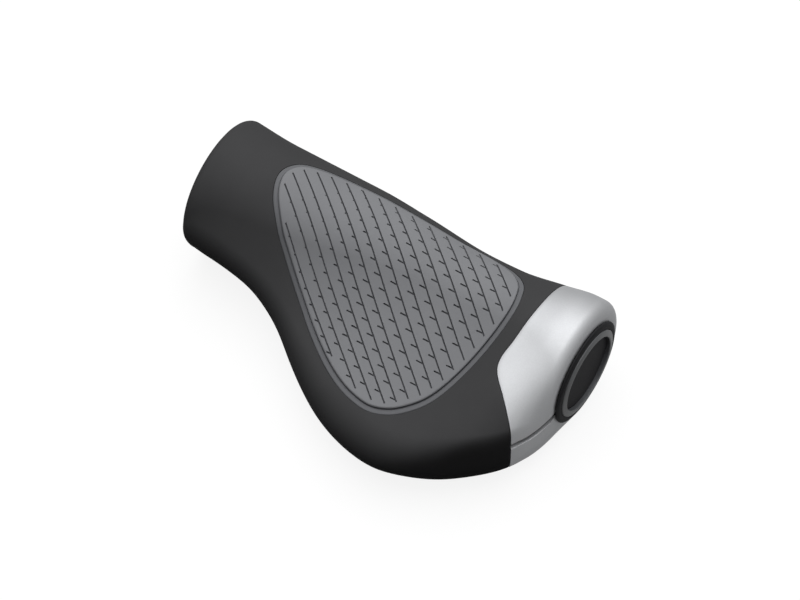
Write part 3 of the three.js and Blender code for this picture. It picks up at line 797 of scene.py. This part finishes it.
def barbTree():
    tree, given = startTree("padBarbs", patternSockets + [
        ("Barb Count", "Int"), ("First Barb", "Vector"), ("Next Barb", "Vector"), ("Barb Turn", "Vector"),
        ("Barb Size", "Vector"), ("Barb Middle", "Vector"), ("Longest At", "Vector"),
        ("Full Within", "Float"), ("Shortest Beyond", "Float"), ("Shortest Share", "Float")])
    row = pointRow(tree, given, "Barb Count", "First Barb", "Next Barb")
    kept, down = overPlan(tree, layPattern(tree, repeatAcross(tree, row, given), given), given)
    away = addNode(tree, "ShaderNodeVectorMath", {0: pointPlace(tree), 1: given["Longest At"]},
                   operation="DISTANCE").outputs["Value"]
    size = ramp(tree, away, given["Full Within"], given["Shortest Beyond"], 1.0, given["Shortest Share"])
    scale = addNode(tree, "ShaderNodeCombineXYZ", {"X": size, "Y": 1.0, "Z": 1.0}).outputs[0]
    heading = addNode(tree, "FunctionNodeEulerToRotation", {0: given["Barb Turn"]}).outputs[0]
    lean = addNode(tree, "FunctionNodeAlignRotationToVector", {
        "Rotation": heading, "Vector": down["Hit Normal"]}, axis="Z").outputs[0]
    barb = addNode(tree, "GeometryNodeMeshCube", {"Size": given["Barb Size"]}).outputs[0]
    barbs = addNode(tree, "GeometryNodeInstanceOnPoints", {
        "Points": moved(tree, kept, down["Hit Position"]),
        "Instance": shifted(tree, barb, given["Barb Middle"]), "Rotation": lean, "Scale": scale}).outputs[0]
    closeTree(tree, barbs, given)
    return tree


def inMetres(*values):
    return tuple(value * mm for value in values)


def cutGrooves():
    s = patternSizes
    margin = padEdge + padInward * s["margin"]
    flat = np.column_stack([margin, np.zeros(len(margin))])
    plan = [np.array([flat, np.repeat(flat.mean(axis=0)[None], len(flat), axis=0)])]
    shared = {
        "Surface": pad, "Material": finishes["padRubber"], "Line Count": s["lines"],
        "First Line": inMetres(0, -s["linesBelow"] * s["linePitch"], 0),
        "Next Line": inMetres(0, s["linePitch"], 0), "Reach": s["reach"] * mm,
        "Crowding": s["crowding"] * mm, "Fan": math.radians(s["fan"]), "Sweep": s["sweep"] * mm,
        "Lean": s["lean"] * mm, "Stretch": s["stretch"] * mm, "Turn": (0, 0, math.radians(s["angle"])),
        "Middle": inMetres(*s["middle"])}
    lines = weldGrids("grooves", plan, finishes["padRubber"])
    growPiece(lines, grooveTree(), shared | {
        "Line Start": inMetres(-2 * s["reach"], 0, 0), "Line End": inMetres(2 * s["reach"], 0, 0),
        "Step": s["step"] * mm, "Groove Width": s["width"] * mm,
        "Cutter Height": (s["depth"] + s["above"]) * mm,
        "Cutter Centre": inMetres(0, (s["depth"] - s["above"]) / 2, 0), "Shortest": s["shortest"] * mm})
    barbs = weldGrids("barbs", plan, finishes["padRubber"])
    growPiece(barbs, barbTree(), shared | {
        "Barb Count": s["barbs"], "First Barb": inMetres(-s["barbsLeft"] * s["barbPitch"], 0, 0),
        "Next Barb": inMetres(s["barbPitch"], 0, 0), "Barb Turn": (0, 0, math.radians(s["barbAngle"])),
        "Barb Size": inMetres(s["barbLength"], s["barbWidth"], s["barbDepth"] + s["above"]),
        "Barb Middle": inMetres(s["barbLength"] / 2, 0, (s["above"] - s["barbDepth"]) / 2),
        "Longest At": inMetres(*s["barbCentre"]), "Full Within": s["barbFade"][0] * mm,
        "Shortest Beyond": s["barbFade"][1] * mm, "Shortest Share": s["barbShare"]})
    print("grooves", len(lines.data.polygons), "faces, barbs", len(barbs.data.polygons), "faces")
    cutAway(pad, lines)
    cutAway(pad, barbs)


def markRise():
    # Each point's height over the rubber's skin, in millimetres, for the pad's colours
    points = np.empty(len(pad.data.vertices) * 3, np.float32)
    pad.data.vertices.foreach_get("co", points)
    points = points.reshape(-1, 3) / mm
    flat = points[:, :2].astype(float)
    height = points[:, 2] - skinTop(flat)
    lean = skinTop(flat, 1.0) - skinTop(flat)
    rise = pad.data.attributes.new("rise", "FLOAT", "POINT")
    rise.data.foreach_set("value", (height / lean).astype(np.float32))


cutGrooves()
markRise()
finish(pad, "palm_pad", 40)
finish(body, "grip_body", 40)


# Clamp: forged alloy, open at the slot behind the bar

def jawOutline(x):
    # From the slot's upper face over the top, round the front and under, to the slot's lower face
    s = clampSizes
    top, under = halfSection(x, 1), halfSection(x, -1)
    climb = top[::-1]
    climb = climb[:int(np.argmax(climb[:, 1])) + 1]
    keep = np.concatenate([[True], np.diff(climb[:, 1]) > 1e-9])
    climb = climb[keep]
    upper, lower = (np.array([np.interp(z, climb[:, 1], climb[:, i]) for i in range(4)])
                    for z in (s["slotTop"], s["slotBottom"]))
    over = np.vstack([upper, climb[climb[:, 1] > s["slotTop"] + 0.01]])
    front = top[::-1][int(np.argmax(top[::-1][:, 1])) + 1:]
    rest = climb[climb[:, 1] < s["slotBottom"] - 0.01]
    return spread(np.vstack([over, front, under[1:-1], rest, lower]), s["lines"])


def clampPiece():
    s = clampSizes
    length, endRound = skin["length"], skin["length"] - skin["endFillet"]
    stations = list(np.arange(s["searchFrom"], endRound - 0.1, 0.3)) + easedSteps(endRound, length, 20)
    table = outlineTable(jawOutline, stations)
    seam = seamLine(0)
    starts = seamPlaces(table, seam)
    lines = len(starts)
    outer = [readTable(table, starts + (endRound - starts) * t) for t in np.linspace(0, 1, 15)]
    outer[0][:, 0] = seam(outer[0][:, 1])
    outer += [readTable(table, x) for x in easedSteps(endRound, length, 9)[1:]]
    outer = np.array(outer)

    def socketLine(ring):
        angle = np.unwrap(np.arctan2(ring[:, 2], ring[:, 1]))
        first = math.pi - math.asin(s["slotTop"] / s["socket"])
        last = -math.pi - math.asin(s["slotBottom"] / s["socket"])
        turn = first + (angle - angle[0]) * (last - first) / (angle[-1] - angle[0])
        return np.stack([np.cos(turn), np.sin(turn)], axis=1) * s["socket"]

    sides = []
    for i, ring in enumerate(outer):
        inner = socketLine(ring)
        start = seam(ring[:, 1])
        share = (ring[:, 0] - start) / (length - start) if i else np.zeros(lines)
        wall = [ring]
        for t in np.linspace(0, 1, 11)[1:]:
            flat = ring[:, 1:] * (1 - t) + inner * t
            begin = seam(flat[:, 0])
            wall.append(np.column_stack([begin + (length - begin) * share, flat]))
        sides.append(wall)
    sides = np.array(sides)
    grids = [outer, sides[:, -1], sides[:, :, 0], sides[:, :, -1], sides[0], sides[-1]]
    piece = weldGrids("clamp", grids, finishes["alloy"])
    softenEdges(piece, s["edge"], 35)
    hole = roundedProfile([
        (s["holeBottom"], 0, 0), (s["holeBottom"], s["headHole"], 0), (s["seat"], s["headHole"], 0),
        (s["seat"], s["shankHole"], 0), (s["holeTop"], s["shankHole"], 0), (s["holeTop"], 0, 0)])
    tool = turned(hole, 72, True, (s["boltX"], s["boltY"], 0))
    cutAway(piece, weldGrids("boltHole", [tool], finishes["alloy"]))
    return piece


finish(clampPiece(), "clamp", 50)


# Sleeve, screw, plug and trim ring, all turned

sleeveSizes = {"start": 1.8, "end": 96.7, "bore": 11.25, "outside": 12.25, "edge": 0.25, "slit": 11,
               "slitBottom": -2.8, "slitTop": -0.8, "slitDepth": -14}


def coreSleeve():
    s = sleeveSizes
    profile = roundedProfile([(along, radius, s["edge"]) for along, radius in (
        (s["start"], s["bore"]), (s["start"], s["outside"]), (s["end"], s["outside"]),
        (s["end"], s["bore"]))], True)
    piece = weldGrids("coreSleeve", [turned(profile, 120)], finishes["nylon"])
    xs, ys, zs = (s["end"] - s["slit"], s["end"] + 1), (s["slitDepth"], 0), (s["slitBottom"], s["slitTop"])
    box = np.array([[[(x, y, z) for z in zs] for y in ys] for x in xs])
    sides = [box[0], box[1], box[:, 0], box[:, 1], box[:, :, 0], box[:, :, 1]]
    cutAway(piece, weldGrids("slit", sides, finishes["nylon"]))
    return piece


boltSizes = {"head": 3.5, "headHeight": 4, "shank": 2, "length": 12, "seat": -7.1, "hex": 3,
             "hexDepth": 2.2, "hexCone": 0.6}


def pinchBolt():
    s = boltSizes
    place = (clampSizes["boltX"], clampSizes["boltY"], 0)
    bottom = s["seat"] - s["headHeight"]
    profile = roundedProfile([(bottom, 0, 0), (bottom, s["head"], 0.45), (s["seat"], s["head"], 0.12),
                              (s["seat"], s["shank"], 0.1), (s["seat"] + s["length"], s["shank"], 0.4),
                              (s["seat"] + s["length"], 0, 0)])
    piece = weldGrids("pinchBolt", [turned(profile, 96, True, place)], finishes["steel"])
    corner = s["hex"] / 2 / math.cos(math.pi / 6)
    hexagon = np.array([(bottom - 1, 0), (bottom - 1, corner), (bottom + s["hexDepth"], corner),
                        (bottom + s["hexDepth"] + s["hexCone"], 0)])
    cutAway(piece, weldGrids("hexagon", [turned(hexagon, 6, True, place)], finishes["steel"]))
    return piece


plugSizes = {"flangeBase": 101.3, "flangeTop": 102.0, "flange": 13.1, "spigot": 12.25, "spigotEnd": 97,
             "stemEnd": 81, "stem": 8.1, "stemBore": 6.5, "rib": 8.7, "ribs": 3, "seat": 101.0,
             "ringOuter": 11.25, "ringInner": 9.6, "ringGap": 0.08, "ringTop": 102.55, "dish": 101.45}


def endPlug():
    s = plugSizes
    floor, flangeTop, seat = s["seat"] - 1.5, s["flangeTop"], s["seat"]
    outer, inner = s["ringOuter"] + s["ringGap"], s["ringInner"] - s["ringGap"]
    corners = [(floor, 0, 0), (floor, s["stemBore"], 0.2), (s["stemEnd"], s["stemBore"], 0.3),
               (s["stemEnd"], s["stem"], 0.5)]
    pitch = (s["spigotEnd"] - s["stemEnd"]) / (s["ribs"] + 1)
    for i in range(s["ribs"], 0, -1):
        rib = s["spigotEnd"] - i * pitch
        corners += [(rib - pitch / 4, s["stem"], 0.2), (rib, s["rib"], 0.15),
                    (rib + pitch / 8, s["stem"], 0.1)]
    corners += [
        (s["spigotEnd"], s["stem"], 0.3), (s["spigotEnd"], s["spigot"], 0.4),
        (s["flangeBase"], s["spigot"], 0.1), (s["flangeBase"], s["flange"], 0.12),
        (s["flangeBase"] + 0.3, s["flange"], 0.25), (flangeTop - 0.02, s["flange"] - 0.75, 0.5),
        (flangeTop, outer, 0.06), (seat, outer, 0), (seat, inner, 0), (s["dish"], inner, 0.15),
        (s["dish"] - 0.05, 5, 0.5), (s["dish"] - 0.05, 0, 0)]
    return weldGrids("endPlug", [turned(roundedProfile(corners))], finishes["nylon"])


def plugRing():
    s = plugSizes
    base = s["seat"] + 0.1
    inner, outer = s["ringInner"], s["ringOuter"]
    corners = [(base, inner, 0), (base, outer, 0), (s["flangeTop"] + 0.12, outer, 0.08),
               (s["flangeTop"] + 0.24, outer - 0.2, 0.1), (s["ringTop"], inner + 0.22, 0.16),
               (s["ringTop"] - 0.2, inner, 0.08)]
    return weldGrids("plugRing", [turned(roundedProfile(corners, True))], finishes["trim"])


finish(coreSleeve(), "core_sleeve", 30)
finish(pinchBolt(), "pinch_bolt", 30)
finish(endPlug(), "end_plug", 40)
finish(plugRing(), "plug_ring", 40)


# Floor, background and lights

stage = {
    "white": 1.0, "fill": 0.02, "bounce": "#141414", "floorGlow": 0.88, "floorColour": "#707070",
    "mirroredGlow": 0.2, "mirroredColour": "#A4A4A4", "floorReach": 4000, "floorGap": 0.05,
}
lamp = {"place": (-70, 370, 950), "width": 1200, "length": 1750, "power": 16.0}


def seenDirectly(tree):
    # 1 for camera, glossy and transmission rays, 0 for the rays that light the object
    path = addNode(tree, "ShaderNodeLightPath").outputs
    total = calc(tree, "ADD", path["Is Camera Ray"], path["Is Glossy Ray"])
    return calc(tree, "ADD", total, path["Is Transmission Ray"], use_clamp=True)


def glowingWhite(tree, colour, glow):
    soft = addNode(tree, "ShaderNodeBsdfDiffuse", {"Color": linear(colour)}).outputs[0]
    light = addNode(tree, "ShaderNodeEmission", {"Color": (1, 1, 1, 1), "Strength": glow}).outputs[0]
    return addNode(tree, "ShaderNodeAddShader", {0: soft, 1: light}).outputs[0]


def addFloor():
    # White paper that keeps the object's shadow, also in the metal's reflection, and throws little
    # light back on the object
    material, tree = startMaterial("pale floor")[:2]
    path = addNode(tree, "ShaderNodeLightPath").outputs
    mirrored = calc(tree, "ADD", path["Is Glossy Ray"], path["Is Transmission Ray"], use_clamp=True)
    shown = addNode(tree, "ShaderNodeBsdfDiffuse", {"Color": linear(stage["bounce"])}).outputs[0]
    for factor, look in ((mirrored, "mirrored"), (path["Is Camera Ray"], "floor")):
        white = glowingWhite(tree, stage[look + "Colour"], stage[look + "Glow"])
        shown = addNode(tree, "ShaderNodeMixShader", {0: factor, 1: shown, 2: white}).outputs[0]
    addNode(tree, "ShaderNodeOutputMaterial", {"Surface": shown})
    size, level = stage["floorReach"], cadBox[0][2] / mm - stage["floorGap"]
    floor = weldGrids("floor", [np.array([[(-size, -size, level), (size, -size, level)],
                                          [(-size, size, level), (size, size, level)]])], material)


def lightScene():
    world = bpy.data.worlds.new("studio")
    bpy.context.scene.world = world
    world.use_nodes = True
    tree = world.node_tree
    tree.nodes.clear()
    strength = ramp(tree, seenDirectly(tree), 0, 1, stage["fill"], stage["white"])
    sky = addNode(tree, "ShaderNodeBackground", {"Color": (1, 1, 1, 1), "Strength": strength}).outputs[0]
    addNode(tree, "ShaderNodeOutputWorld", {"Surface": sky})
    data = bpy.data.lights.new("softBox", "AREA")
    data.shape = "RECTANGLE"
    data.size = lamp["width"] * mm
    data.size_y = lamp["length"] * mm
    data.energy = lamp["power"]
    light = bpy.data.objects.new("softBox", data)
    light.location = Vector(lamp["place"]) * mm
    bpy.context.collection.objects.link(light)
    bpy.context.scene.view_settings.view_transform = "Standard"


addFloor()
lightScene()
print("stage lit")
